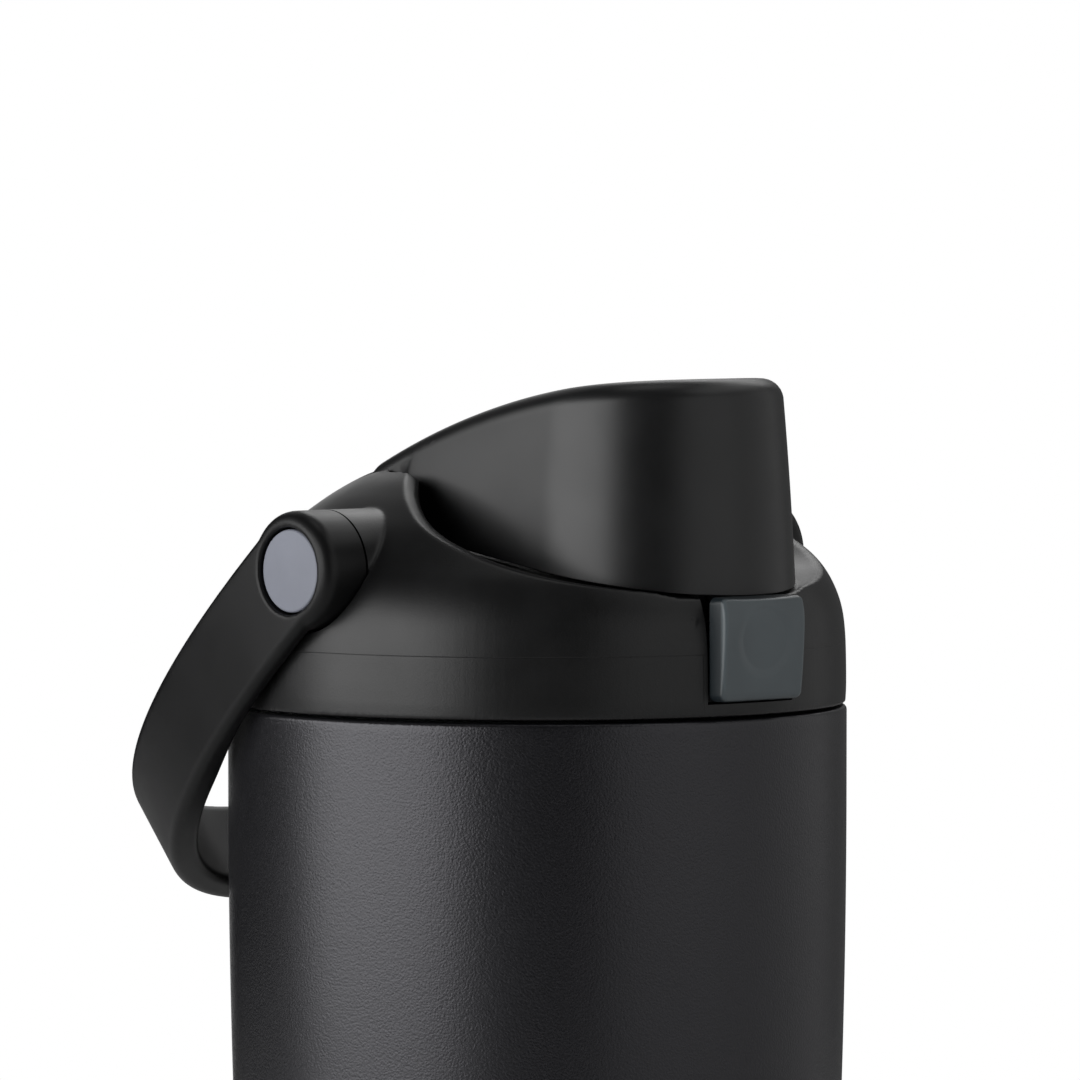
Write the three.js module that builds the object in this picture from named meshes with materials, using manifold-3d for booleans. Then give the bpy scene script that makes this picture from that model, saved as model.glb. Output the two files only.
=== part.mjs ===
// Insulated flip-lid drinking bottle: double-walled steel body, screw-on domed lid,
// push-button flip cap over a spout, and a bail handle that swings on two side pivots.
// Millimetres, +Z up. The origin is the centre of the flat base. The button faces -Y,
// the cap's hinge and the hanging handle are at +Y, and the handle's pivots are on X.
// Lid sizes are heights above the seam where the lid's collar meets the body.

import * as THREE from 'three';
import { mergeVertices } from 'three/addons/utils/BufferGeometryUtils.js';
import Module from 'manifold-3d';

const wasm = await Module();
wasm.setup();

// ---------- driving dimensions ----------

const SEAM_Z = 206; // height of the seam above the table
const BODY_R = 48; // body radius at the seam
const GAP = 0.3; // clearance between neighbouring pieces
const ROUND = 40; // sides of the large turned pieces

const body = {
  straight: 14, // cylindrical length below the seam
  taperR: 1500, // radius of the long side curve below that
  cornerR: 6, // rounded bottom corner
  wall: 0.9,
  bottomZ: 2.2, // outer shell's lowest edge, above the base plate
  vacuum: 1.9, // space between the two walls
  lipR: 39.6, // inner edge of the shell's rolled top
};

const neck = {
  boreR: 39.0, // inside of the neck
  wall: 0.9,
  depth: 23, // length of the neck below the seam
};

const thread = {
  pitch: 4,
  width: 1.5, // ridge width at the root
  neckTurns: 2,
  neckCrestR: 38.0, // the neck's ridge reaches in to here
  neckStart: -13, // height of the neck ridge's lower end
  plugTurns: 1.25,
  plugCrestR: 38.6, // the plug's ridge reaches out to here
  plugStart: -15, // the plug's ridge starts half a pitch away from the neck's
  steps: 24, // steps in a turn
};

const collar = {
  wall: 2.6,
  bottom: 0.2,
  saddleWall: 2.2,
};

const plug = {
  r: 37.2,
  wall: 2.2,
  flangeR: 44.7,
  flangeZ: 1.7,
  flangeH: 2,
  deckZ: 9,
  deckH: 2.5,
  bottom: -17,
};

const hinge = {
  y: 12.8,
  z: 34.8,
  barrelR: 2.9,
  barrelHalf: 20.6,
  pinR: 1.25,
  knuckleFrom: 4.9, // lid's two middle knuckles, from and to
  knuckleTo: 11.9,
  noseR: 3.55, // the cap's skin over the barrel, where the cap's top meets it
  openRoom: 4.1, // from the pin's axis to the wall that the opened cap comes near
};

const cap = {
  r: 22.5, // half width, and the radius of the round front
  frontY: -24.8, // centre of the round front
  rearY: 12,
  rearCorner: 6,
  draft: Math.tan(THREE.MathUtils.degToRad(4.6)),
  wall: 2,
  edge: 4, // fillet around the top
  rimZ: 18.3, // lower rim at the front
  rimSlope: 0.16, // the rim climbs towards the hinge
  hingeTilt: 19.5, // slope of the closed cap's top at the hinge, in degrees
  openDeg: 110,
};

const spout = {
  y: -27,
  baseZ: 10.8,
  topZ: 41.6,
  halfX: 10.5,
  halfY: 8,
  wall: 2.6,
};

const VENT_Y = 20; // the vent sits behind the spout

const straw = { y: -24, r: 4, bore: 2.9, bottomZ: 13 - SEAM_Z, topZ: 5.6 };

const button = {
  half: 8.5, // half width
  bottom: 2.6,
  top: 17.8,
  backY: -47,
};

const pivot = {
  y: 0.5,
  z: 22,
  bossR: 9.1,
  jointX: 43, // plane between the collar's stub and the handle's boss
  outerX: 51.2,
  coverR: 6.3,
  screwR: 2.2,
  bushR: 3.7,
};

const handle = {
  downDeg: 40.4, // hangs this far below the horizontal
  length: 79.66,
  bow: 2.735, // the crossbar bows around the body
  armPower: 2 / 3.14,
  reachPower: 2 / 2.215,
  widthPivot: 16.6,
  widthBar: 16.2,
  thickArm: 3.3, // beside the collar
  thickBar: 4.8,
  thinTo: 0.26, // share of the reach up to which the arms stay thin
  fullFrom: 0.54, // share of the reach from which they are as thick as the crossbar
};

// ---------- colours ----------

const looks = {
  powderCoat: { color: 0x2b2b2d, roughness: 0.62, metalness: 0.1 },
  steel: { color: 0xb9bcbf, roughness: 0.35, metalness: 1 },
  collar: { color: 0x1e1f20, roughness: 0.55, metalness: 0 },
  cap: { color: 0x1c1d1e, roughness: 0.42, metalness: 0 },
  handle: { color: 0x232425, roughness: 0.45, metalness: 0 },
  disc: { color: 0x888b96, roughness: 0.55, metalness: 0 },
  button: { color: 0x4c5356, roughness: 0.45, metalness: 0 },
  inner: { color: 0x303236, roughness: 0.5, metalness: 0 },
  silicone: { color: 0x6d7377, roughness: 0.7, metalness: 0 },
  clear: { color: 0xb8bcc0, roughness: 0.3, metalness: 0 },
};

// ---------- solids ----------

// A closed geometry as a solid, with shared vertices and its faces pointing out.
function solid(geometry) {
  const plain = geometry.clone();
  plain.deleteAttribute('normal');
  plain.deleteAttribute('uv');
  const merged = mergeVertices(plain, 1e-4);
  const points = merged.attributes.position.array;
  const index = merged.index.array;
  const corner = (i) => new THREE.Vector3().fromArray(points, 3 * i);
  let triangles = [];
  let volume = 0;
  for (let i = 0; i < index.length; i += 3) {
    const [a, b, c] = [index[i], index[i + 1], index[i + 2]];
    if (a === b || b === c || c === a) continue;
    triangles.push(a, b, c);
    volume += corner(a).dot(corner(b).cross(corner(c)));
  }
  if (volume < 0) triangles = triangles.reverse();
  return new wasm.Manifold(new wasm.Mesh({
    numProp: 3,
    vertProperties: new Float32Array(points),
    triVerts: new Uint32Array(triangles),
  }));
}

function union(...parts) {
  return parts.reduce((whole, part) => whole.add(part));
}

function cut(whole, ...tools) {
  return tools.reduce((rest, tool) => rest.subtract(tool), whole);
}

// A turned piece: [radius, height] points around +Z.
function lathe(profile, sides = ROUND) {
  const points = profile.map(([r, z]) => new THREE.Vector2(r, z));
  const geometry = new THREE.LatheGeometry(points, sides);
  geometry.rotateX(Math.PI / 2);
  return solid(geometry);
}

// A turned piece with a wall: the profile runs round a closed section.
function ring(profile, sides = ROUND) {
  return lathe([...profile, profile[0]], sides);
}

function moved(part, x, y, z) {
  return part.translate([x, y, z]);
}

// An upright round bar on the plane X = 0.
function rodZ(r, z0, z1, y, sides = 24) {
  return moved(lathe([[0, z0], [r, z0], [r, z1], [0, z1]], sides), 0, y, 0);
}

function rodY(r, y0, y1, x, z, sides = 24) {
  return moved(lathe([[0, y0], [r, y0], [r, y1], [0, y1]], sides).rotate([-90, 0, 0]), x, 0, z);
}

// The same span of X on the right (1) or the left (-1).
function sided(side, x0, x1) {
  return side > 0 ? [x0, x1] : [-x1, -x0];
}

function shapeOf(points) {
  return new THREE.Shape(points.map(([u, v]) => new THREE.Vector2(u, v)));
}

function extruded(points, depth) {
  return new THREE.ExtrudeGeometry(shapeOf(points), {
    depth,
    bevelEnabled: false,
    steps: 1,
  });
}

// A side outline of [y, z] points, extruded from x0 to x1.
function alongX(points, x0, x1) {
  const geometry = extruded(points, x1 - x0);
  const turn = new THREE.Matrix4().makeBasis(
    new THREE.Vector3(0, 1, 0),
    new THREE.Vector3(0, 0, 1),
    new THREE.Vector3(1, 0, 0),
  );
  geometry.applyMatrix4(turn);
  geometry.translate(x0, 0, 0);
  return solid(geometry);
}

// A plan outline of [x, y] points, extruded from z0 to z1.
function alongZ(points, z0, z1) {
  const geometry = extruded(points, z1 - z0);
  geometry.translate(0, 0, z0);
  return solid(geometry);
}

function box(x0, x1, y0, y1, z0, z1) {
  return alongZ([[x0, y0], [x1, y0], [x1, y1], [x0, y1]], z0, z1);
}

function circle(y, z, r, sides = 32) {
  const points = [];
  for (let i = 0; i < sides; i += 1) {
    const turn = (2 * Math.PI * i) / sides;
    points.push([y + r * Math.cos(turn), z + r * Math.sin(turn)]);
  }
  return points;
}

function ellipse(y, halfX, halfY, sides = 32) {
  return circle(0, 0, 1, sides).map(([u, v]) => [halfX * u, y + halfY * v]);
}

function rodX(r, x0, x1, y, z, sides = 32) {
  return alongX(circle(y, z, r, sides), x0, x1);
}

// Rings of points with the same count, joined into a closed skin with flat ends.
function loft(rings) {
  const count = rings[0].length;
  const positions = rings.flat().flatMap((p) => [p.x, p.y, p.z]);
  const index = [];
  for (let k = 0; k + 1 < rings.length; k += 1) {
    for (let i = 0; i < count; i += 1) {
      const a = k * count + i;
      const b = k * count + ((i + 1) % count);
      index.push(a, b, b + count, a, b + count, a + count);
    }
  }
  for (const [k, reverse] of [[0, true], [rings.length - 1, false]]) {
    for (const triangle of endFace(rings[k])) {
      const corners = reverse ? [...triangle].reverse() : triangle;
      index.push(...corners.map((i) => k * count + i));
    }
  }
  const geometry = new THREE.BufferGeometry();
  geometry.setAttribute('position', new THREE.Float32BufferAttribute(positions, 3));
  geometry.setIndex(index);
  return solid(geometry);
}

// Triangles that fill a ring, worked out in the ring's own plane.
function endFace(points) {
  const normal = new THREE.Vector3();
  points.forEach((p, i) => normal.add(p.clone().cross(points[(i + 1) % points.length])));
  normal.normalize();
  const across = points[1].clone().sub(points[0]).normalize();
  const up = normal.clone().cross(across);
  const flat = points.map((p) => new THREE.Vector2(p.dot(across), p.dot(up)));
  return THREE.ShapeUtils.triangulateShape(flat, []);
}

// A helical ridge with tapered ends: it stands on radius root and reaches crest.
function helicalRidge(root, crest, start, turns) {
  const rings = [];
  const steps = Math.round(turns * thread.steps);
  for (let k = 0; k <= steps; k += 1) {
    const turn = (2 * Math.PI * k) / thread.steps;
    const z = start + (thread.pitch * k) / thread.steps;
    const fade = Math.min(1, k / 3, (steps - k) / 3);
    const top = root + (crest - root) * (0.1 + 0.9 * fade);
    const half = thread.width / 2;
    const section = [[root, -half], [top, -half * 0.5], [top, half * 0.5], [root, half]];
    rings.push(section.map(([r, dz]) => new THREE.Vector3(
      r * Math.cos(turn),
      r * Math.sin(turn),
      z + dz,
    )));
  }
  return loft(rings);
}

// A coil spring about the X axis at the origin, as a round wire along a helix.
class Coil extends THREE.Curve {
  constructor(radius, turns, length) {
    super();
    Object.assign(this, { radius, turns, length });
  }

  getPoint(t, target = new THREE.Vector3()) {
    const turn = 2 * Math.PI * this.turns * t;
    return target.set(
      this.length * (t - 0.5),
      this.radius * Math.cos(turn),
      this.radius * Math.sin(turn),
    );
  }
}

function spring(radius, wire, turns, length) {
  const section = new THREE.Shape();
  section.absarc(0, 0, wire, 0, 2 * Math.PI);
  const geometry = new THREE.ExtrudeGeometry(section, {
    curveSegments: 3,
    steps: Math.round(turns * 10),
    extrudePath: new Coil(radius, turns, length),
  });
  return solid(geometry);
}

// ---------- the outlines that several pieces share ----------

// Radius of the body's outside at height z above the table.
function bodyRadius(z) {
  const below = Math.max(0, SEAM_Z - body.straight - z);
  return BODY_R - below ** 2 / (2 * body.taperR);
}

// The outside of the body from its rounded bottom corner up, moved in by inset.
function bodySide(inset, bottom, top) {
  const cornerR = body.cornerR - inset / 2;
  const cornerZ = bottom + cornerR;
  const outer = bodyRadius(cornerZ) - inset;
  const points = [];
  for (let i = 0; i <= 3; i += 1) {
    const turn = (Math.PI / 2) * (i / 3);
    points.push([
      outer - cornerR + cornerR * Math.sin(turn),
      cornerZ - cornerR * Math.cos(turn),
    ]);
  }
  const straightZ = SEAM_Z - body.straight;
  const steps = 3;
  for (let i = 1; i <= steps; i += 1) {
    const z = cornerZ + ((Math.min(straightZ, top) - cornerZ) * i) / steps;
    points.push([bodyRadius(z) - inset, z]);
  }
  if (top > straightZ) points.push([BODY_R - inset, top]);
  return points;
}

// The dome's outside, as [radius, height above the seam].
const DOME = [
  [47.9, collar.bottom], [47.9, 6], [47.7, 11.5], [47.2, 15], [46.2, 18], [44.8, 20.6],
  [43, 22.9], [41, 25.1], [38, 28], [35, 30.3], [31, 33], [26, 35.6], [20, 37.4],
  [12, 38.7], [0, 39.3],
];

function domeHeight(r) {
  for (let i = 1; i < DOME.length; i += 1) {
    const [r0, z0] = DOME[i - 1];
    const [r1, z1] = DOME[i];
    if (r <= r0 && r >= r1) return z1 + ((z0 - z1) * (r - r1)) / (r0 - r1 || 1);
  }
  return 0;
}

// The saddle: the dome is cut away in front along this side line, [y, height].
const SADDLE_LINE = new THREE.SplineCurve([
  new THREE.Vector2(-54, 16.6),
  new THREE.Vector2(-43.7, 18.8),
  new THREE.Vector2(-31.5, 21.8),
  new THREE.Vector2(-18, 26.3),
  new THREE.Vector2(-10.3, 29.5),
  new THREE.Vector2(-4.6, 32.4),
  new THREE.Vector2(0.5, 35),
  new THREE.Vector2(4.2, 36.6),
]);

function saddleHeight(y) {
  const points = SADDLE_LINE.getPoints(64);
  for (let i = 1; i < points.length; i += 1) {
    const [a, b] = [points[i - 1], points[i]];
    if (y >= a.x && y <= b.x) return a.y + ((b.y - a.y) * (y - a.x)) / (b.x - a.x);
  }
  return points[points.length - 1].y;
}

// Half width of the saddle's sharp outer edge at y, where the dome meets the cut.
function saddleEdge(y) {
  const z = saddleHeight(y);
  let [near, far] = [0, BODY_R];
  for (let i = 0; i < 30; i += 1) {
    const middle = (near + far) / 2;
    if (domeHeight(Math.hypot(middle, y)) > z) near = middle;
    else far = middle;
  }
  return near;
}

// The cap's lower rim.
function rimHeight(y) {
  return cap.rimZ + cap.rimSlope * (y - cap.frontY + cap.r);
}

// The cap's top along its middle: one long arc that falls away towards the hinge.
function capTop(y) {
  const crest = { y: -47.3, z: 51.1, r: 152 };
  const reach = Math.min(Math.max(y - crest.y, 0), crest.r);
  return crest.z - crest.r + Math.sqrt(crest.r ** 2 - reach ** 2);
}

// The cap's plan outline moved in by inset: round front, straight sides, round corners.
function capPlan(inset, rearY = cap.rearY) {
  const r = cap.r - inset;
  const corner = Math.max(cap.rearCorner - inset, 0.4);
  const rear = rearY - inset;
  const frontSides = 14;
  const sideYs = [-18, -10, -2, 5, 12].filter((y) => y < rearY - cap.rearCorner - 3);
  const points = [];
  for (let i = 0; i <= frontSides; i += 1) {
    const turn = Math.PI + (Math.PI * i) / frontSides;
    points.push([r * Math.cos(turn), cap.frontY + r * Math.sin(turn)]);
  }
  for (const y of sideYs) points.push([r, y]);
  for (let i = 0; i <= 3; i += 1) {
    const turn = (Math.PI / 2) * (i / 3);
    points.push([r - corner + corner * Math.cos(turn), rear - corner + corner * Math.sin(turn)]);
  }
  for (let i = 0; i <= 3; i += 1) {
    const turn = (Math.PI / 2) * (1 + i / 3);
    points.push([corner - r + corner * Math.cos(turn), rear - corner + corner * Math.sin(turn)]);
  }
  for (const y of sideYs.reverse()) points.push([-r, y]);
  return points;
}

// The cap's form: a drafted wall from the rim up, and a rounded edge onto the top.
// skin moves the whole surface in, and lower drops the bottom below the rim.
function capForm(skin, lower, rearY = cap.rearY) {
  const edge = Math.max(cap.edge - skin, 1);
  const levelOf = (inset, drop) => capPlan(inset, rearY).map(([x, y]) => new THREE.Vector3(
    x,
    y,
    capTop(y) - skin - drop,
  ));
  const bottom = capPlan(skin, rearY).map(([x, y]) => (
    new THREE.Vector3(x, y, rimHeight(y) - lower)
  ));
  const lean = cap.draft * 26;
  const rings = [bottom, levelOf(skin + lean * 0.86, edge)];
  for (const turn of [30, 60, 90]) {
    const angle = THREE.MathUtils.degToRad(turn);
    const inset = skin + lean * 0.86 + edge * (1 - Math.cos(angle));
    rings.push(levelOf(inset, edge * (1 - Math.sin(angle))));
  }
  rings.push(levelOf(skin + lean + edge + 6, 0));
  return loft(rings);
}

// ---------- bottle ----------

function outerShell() {
  const top = SEAM_Z - 0.2;
  const outside = bodySide(0, body.bottomZ, top - 0.8);
  const inside = bodySide(body.wall, body.bottomZ + body.wall, top - body.wall);
  const bottomIn = 3; // radius of the evacuation dimple's hole
  const profile = [
    [bottomIn, body.bottomZ + 2],
    [bottomIn + 6, body.bottomZ + 2],
    [bottomIn + 8, body.bottomZ],
    ...outside,
    [BODY_R - 0.8, top],
    [body.lipR, top],
    [body.lipR, top - body.wall],
    ...inside.reverse(),
    [bottomIn + 8.4, body.bottomZ + body.wall],
    [bottomIn + 6.4, body.bottomZ + 2 + body.wall],
    [bottomIn, body.bottomZ + 2 + body.wall],
  ];
  return ring(profile);
}

function innerLiner() {
  const inset = body.wall + body.vacuum;
  const floor = body.bottomZ + 5;
  const shoulderZ = SEAM_Z - neck.depth;
  const outside = bodySide(inset, floor, shoulderZ - 9);
  const inside = bodySide(inset + neck.wall, floor + neck.wall, shoulderZ - 9.4);
  const neckOut = neck.boreR + neck.wall;
  const flangeZ = SEAM_Z - 0.2 - body.wall - GAP;
  const profile = [
    [0, floor],
    ...outside,
    [neckOut + 2.2, shoulderZ - 2.6],
    [neckOut, shoulderZ],
    [neckOut, flangeZ - neck.wall],
    [BODY_R - 4, flangeZ - neck.wall],
    [BODY_R - 4, flangeZ],
    [neck.boreR, flangeZ],
    [neck.boreR, shoulderZ - 0.4],
    [neck.boreR + 2.1, shoulderZ - 3.2],
    ...inside.reverse(),
    [0, floor + neck.wall],
  ];
  const threadZ = SEAM_Z + thread.neckStart;
  const ridge = helicalRidge(neck.boreR + 0.4, thread.neckCrestR, threadZ, thread.neckTurns);
  return union(lathe(profile), ridge);
}

function basePlate() {
  const r = bodyRadius(body.bottomZ) - body.cornerR + 1.5;
  return lathe([[0, 0], [r - 1.2, 0], [r, 0.8], [r, 1.9], [0, 1.9]], 48);
}

function vacuumSeal() {
  const z = body.bottomZ + 2 + body.wall + GAP;
  return lathe([[0, z], [5, z], [5, z + 0.8], [0, z + 0.8]], 20);
}

function getter() {
  const z = body.bottomZ + 5 - GAP;
  return moved(lathe([[0, z - 1.2], [4.5, z - 1.2], [4.5, z], [0, z]], 20), 18, 0, 0);
}

// ---------- lid ----------

function lidGasket() {
  return ring([[39.4, 0.1], [41.3, 0.1], [41.3, 1.4], [39.4, 1.4]]);
}

function lidPlug() {
  const inner = plug.r - plug.wall;
  const deckBottom = plug.deckZ - plug.deckH;
  const form = lathe([
    [0, deckBottom],
    [inner - 2, deckBottom],
    [inner, deckBottom - 2],
    [inner, plug.bottom],
    [plug.r - 0.8, plug.bottom],
    [plug.r, plug.bottom + 0.8],
    [plug.r, plug.flangeZ],
    [plug.flangeR, plug.flangeZ],
    [plug.flangeR, plug.flangeZ + plug.flangeH],
    [plug.r, plug.flangeZ + plug.flangeH],
    [plug.r, plug.deckZ - 1],
    [plug.r - 1, plug.deckZ],
    [0, plug.deckZ],
  ]);
  const ridge = helicalRidge(plug.r - 0.4, thread.plugCrestR, thread.plugStart, thread.plugTurns);
  const socket = rodZ(straw.r + 2, -6, plug.deckZ - 1, straw.y);
  const strawHole = rodZ(straw.r + GAP, -7, straw.topZ + GAP, straw.y);
  const channel = alongZ(ellipse(spout.y, spout.halfX - spout.wall - 1, spout.halfY - spout.wall), 5.4, 10);
  const ventHole = rodZ(1.9, 0, 12, VENT_Y, 16);
  const buttonNotch = box(-11, 11, -50, -41.2, 0, 6);
  return cut(union(form, ridge, socket), strawHole, channel, ventHole, buttonNotch);
}

function ventValve() {
  const form = lathe([
    [0, 4.6], [1.2, 4.6], [2.4, 5.6], [2.4, 6.1], [1.5, 6.1], [1.5, 9.3],
    [5.5, 9.4], [5, 10.4], [0, 11],
  ], 20);
  return moved(form, 0, VENT_Y, 0);
}

// The pocket in the lid that takes the closed cap, with the moat around its sides.
function capPocket() {
  const clear = 0.7;
  const plan = capPlan(-clear);
  const floor = plan.map(([x, y]) => new THREE.Vector3(x, y, rimHeight(y) - 0.5));
  const top = plan.map(([x, y]) => new THREE.Vector3(x, y, 60));
  return loft([floor, top]);
}

// The dished slope between the saddle's rim band and the cap, on one side.
function scoop(side) {
  const rings = [];
  const stations = [-40, -35, -29, -23, -17, -11, -6, -2, 1.5];
  for (const y of stations) {
    const fromEdge = THREE.MathUtils.clamp((y + 40) / 44, 0, 1);
    const band = 1.2 + 2.0 * fromEdge ** 2;
    const outer = Math.max(saddleEdge(y) - band, cap.r + 1.2);
    const inner = cap.r - 4;
    const low = rimHeight(y) - 0.45;
    const high = saddleHeight(y);
    const section = [[inner, 60], [inner, low]];
    for (let i = 0; i <= 4; i += 1) {
      const s = i / 4;
      const x = cap.r + 0.5 + (outer - cap.r - 0.5) * s;
      section.push([x, low + Math.max(high - low, 0.1) * s ** 1.8]);
    }
    section.push([outer, 60]);
    rings.push(section.map(([x, z]) => new THREE.Vector3(side * x, y, z)));
  }
  return loft(rings);
}

// The dome is cut away above the saddle line.
function saddleCut() {
  const line = SADDLE_LINE.getPoints(16).map((p) => [p.x, p.y]);
  return alongX([...line, [5, 37.6], [5.2, 60], [-54, 60]], -60, 60);
}

// Room behind the hinge for the cap's barrel and for its top when it is open.
function hingeNotch() {
  const tilt = cap.hingeTilt + cap.openDeg;
  const normal = THREE.MathUtils.degToRad(90 - tilt);
  const away = THREE.MathUtils.degToRad(180 - tilt);
  const skin = hinge.openRoom;
  const at = (along, off) => [
    hinge.y + off * Math.cos(normal) + along * Math.cos(away),
    hinge.z + off * Math.sin(normal) + along * Math.sin(away),
  ];
  const wedge = [at(-2, skin), at(16, skin), at(16, -10), at(-2, -1)];
  const half = hinge.barrelHalf + 0.4;
  return union(
    rodX(hinge.barrelR + 0.4, -half, half, hinge.y, hinge.z, 24),
    alongX(wedge, -half, half),
  );
}

function knuckle(side) {
  const [from, to] = [hinge.knuckleFrom, hinge.knuckleTo];
  const [x0, x1] = sided(side, from, to);
  const web = [
    [hinge.y - 1.6, hinge.z], [hinge.y - 1.6, 24], [18, 24], [18, 31],
    [hinge.y + 2.4, hinge.z],
  ];
  return cut(
    union(rodX(hinge.barrelR, x0, x1, hinge.y, hinge.z, 24), alongX(web, x0, x1)),
    rodX(hinge.pinR + 0.2, x0 - 1, x1 + 1, hinge.y, hinge.z, 16),
  );
}

function lidShell() {
  const dome = lathe([[0, collar.bottom], ...DOME]);
  const wall = collar.wall;
  const hollow = lathe([
    [0, -1], [45.1, -1], [45.1, 9], [43.4, 16.4], [38.6, 22.8], [30, 29.2], [19, 34], [0, 36.4],
  ]);
  const well = capPlan(-0.7 - collar.saddleWall);
  const wellBlock = loft([
    well.map(([x, y]) => new THREE.Vector3(x, y, rimHeight(y) - 0.5 - collar.saddleWall)),
    well.map(([x, y]) => new THREE.Vector3(x, y, 60)),
  ]);
  const moatBlock = union(...[-1, 1].map((side) => scoop(side).translate([side * wall, 0, -wall])));
  const frontBlock = box(-11, 11, -50, -41.6, 0.2, 20);
  const rearBlock = box(-24, 24, 10, 19, 24, 40);
  const kept = union(wellBlock, moatBlock, frontBlock, rearBlock);
  const saddleSkin = alongX([
    ...SADDLE_LINE.getPoints(8).map((p) => [p.x, p.y - wall]), [5.2, 60], [-54, 60],
  ], -60, 60);
  const cavity = cut(hollow, kept, saddleSkin);
  const stubEnd = pivot.jointX - GAP / 2;
  const onPivot = (side, r, x0, x1, sides = 40) => (
    rodX(r, ...sided(side, x0, x1), pivot.y, pivot.z, sides)
  );
  const stubs = [-1, 1].map((side) => onPivot(side, pivot.bossR, 34, stubEnd));
  const bossRooms = [-1, 1].map((side) => onPivot(side, pivot.bossR + 0.4, stubEnd, 60));
  const screwBores = [-1, 1].map((side) => onPivot(side, pivot.screwR + GAP, 35.6, 60, 20));
  const buttonRoom = box(-8.9, 8.9, -60, -42.9, button.bottom - 0.4, 30);
  const hookRoom = box(-5.4, 5.4, -48, -39.4, 12, 30);
  const spoutHole = alongZ(ellipse(spout.y, spout.halfX + 0.4, spout.halfY + 0.4), 10, 40);
  const form = cut(
    union(cut(dome, cavity), ...stubs),
    saddleCut(),
    capPocket(),
    scoop(-1),
    scoop(1),
    hingeNotch(),
    ...bossRooms,
    ...screwBores,
    buttonRoom,
    hookRoom,
    spoutHole,
  );
  return union(form, knuckle(-1), knuckle(1));
}

function spoutPiece() {
  const foot = alongZ(ellipse(spout.y, spout.halfX + 3, spout.halfY + 2), spout.baseZ, spout.baseZ + 1.8);
  const levels = [[spout.baseZ, 0], [32, 0], [38, 0.5], [40.4, 1.2], [spout.topZ, 2.4]];
  const rings = levels.map(([z, inset]) => ellipse(spout.y, spout.halfX - inset, spout.halfY - inset)
    .map(([x, y]) => new THREE.Vector3(x, y, z)));
  const channel = alongZ(
    ellipse(spout.y, spout.halfX - spout.wall - 0.9, spout.halfY - spout.wall - 0.9),
    0,
    60,
  );
  return cut(union(foot, loft(rings)), channel);
}

function spoutSeal() {
  const flange = ellipse(spout.y, spout.halfX + 3, spout.halfY + 2);
  const outer = alongZ(flange, plug.deckZ + GAP, spout.baseZ - GAP);
  const inner = alongZ(ellipse(spout.y, spout.halfX - 1.5, spout.halfY - 1.5), 0, 20);
  return cut(outer, inner);
}

function strawTube() {
  return moved(ring([
    [straw.bore, straw.bottomZ], [straw.r, straw.bottomZ], [straw.r, straw.topZ],
    [straw.bore, straw.topZ],
  ], 24), 0, straw.y, 0);
}

function hingePin() {
  return rodX(hinge.pinR, -19, 19, hinge.y, hinge.z, 16);
}

function hingeSpring() {
  return moved(spring(2.0, 0.35, 5, 7.2), 0, hinge.y, hinge.z);
}

function buttonSpring() {
  const coil = spring(2.6, 0.32, 3.5, 4.6).rotate([0, 0, 90]);
  return moved(coil, 0, -45.7, 9);
}

function pivotScrew(side) {
  return union(
    rodX(pivot.screwR, ...sided(side, 36.2, 47.5), pivot.y, pivot.z, 20),
    rodX(5.2, ...sided(side, 47.2, 48.7), pivot.y, pivot.z, 24),
  );
}

function pivotBush(side) {
  return cut(
    rodX(pivot.bushR, ...sided(side, 43.2, 46.9), pivot.y, pivot.z, 24),
    rodX(pivot.screwR + GAP, -60, 60, pivot.y, pivot.z, 20),
  );
}

// ---------- cap ----------

// The top runs on over the hinge's barrel: its radius there grows from the barrel's own,
// level with the pin, to the height at which the cap's top arrives. Cheeks carry the side
// walls back to the barrel.
function capNose() {
  const top = [4, 6.5, 9, 11.5].map((y) => [y, capTop(y)]);
  const over = [60, 45, 30, 15, 0].map((deg) => {
    const turn = THREE.MathUtils.degToRad(deg);
    const r = hinge.barrelR + (hinge.noseR - hinge.barrelR) * (deg / 66);
    return [hinge.y + r * Math.cos(turn), hinge.z + r * Math.sin(turn)];
  });
  const under = [[hinge.y, hinge.z - 1], [9, hinge.z - 0.6], [4, capTop(4) - cap.wall]];
  const ears = alongX([...top, ...over, ...under], -hinge.barrelHalf, hinge.barrelHalf);
  const side = [
    [2, 31.5], [10, 31.5], [hinge.y - 0.4, hinge.z - 0.5], [11, 38.5], [7, 40], [2, 41],
  ];
  const cheeks = [-1, 1].map((hand) => (
    alongX(side, ...sided(hand, 18.6, hinge.barrelHalf - 0.15))
  ));
  return union(ears, ...cheeks).intersect(capForm(0, 0, 26));
}

function capShell() {
  const rearWallGap = box(-12.3, 12.3, 7, 20, 10, hinge.z + 4);
  const barrel = rodX(hinge.barrelR, -hinge.barrelHalf, hinge.barrelHalf, hinge.y, hinge.z, 24);
  const slot = rodX(hinge.barrelR + 0.4, -12.3, 12.3, hinge.y, hinge.z, 24);
  const pinBore = rodX(hinge.pinR + 0.2, -19.4, 19.4, hinge.y, hinge.z, 16);
  const ledge = box(-5, 5, -45.8, -44.2, 20, 21.2);
  const skin = capForm(0, 0);
  const shell = cut(skin, capForm(cap.wall, 2));
  const middleGap = box(-12.3, 12.3, 0, 20, 0, 60);
  const hingePart = cut(union(barrel, capNose()), middleGap);
  return cut(
    union(cut(shell, rearWallGap, slot), hingePart, ledge.intersect(skin)),
    pinBore,
  );
}

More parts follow.
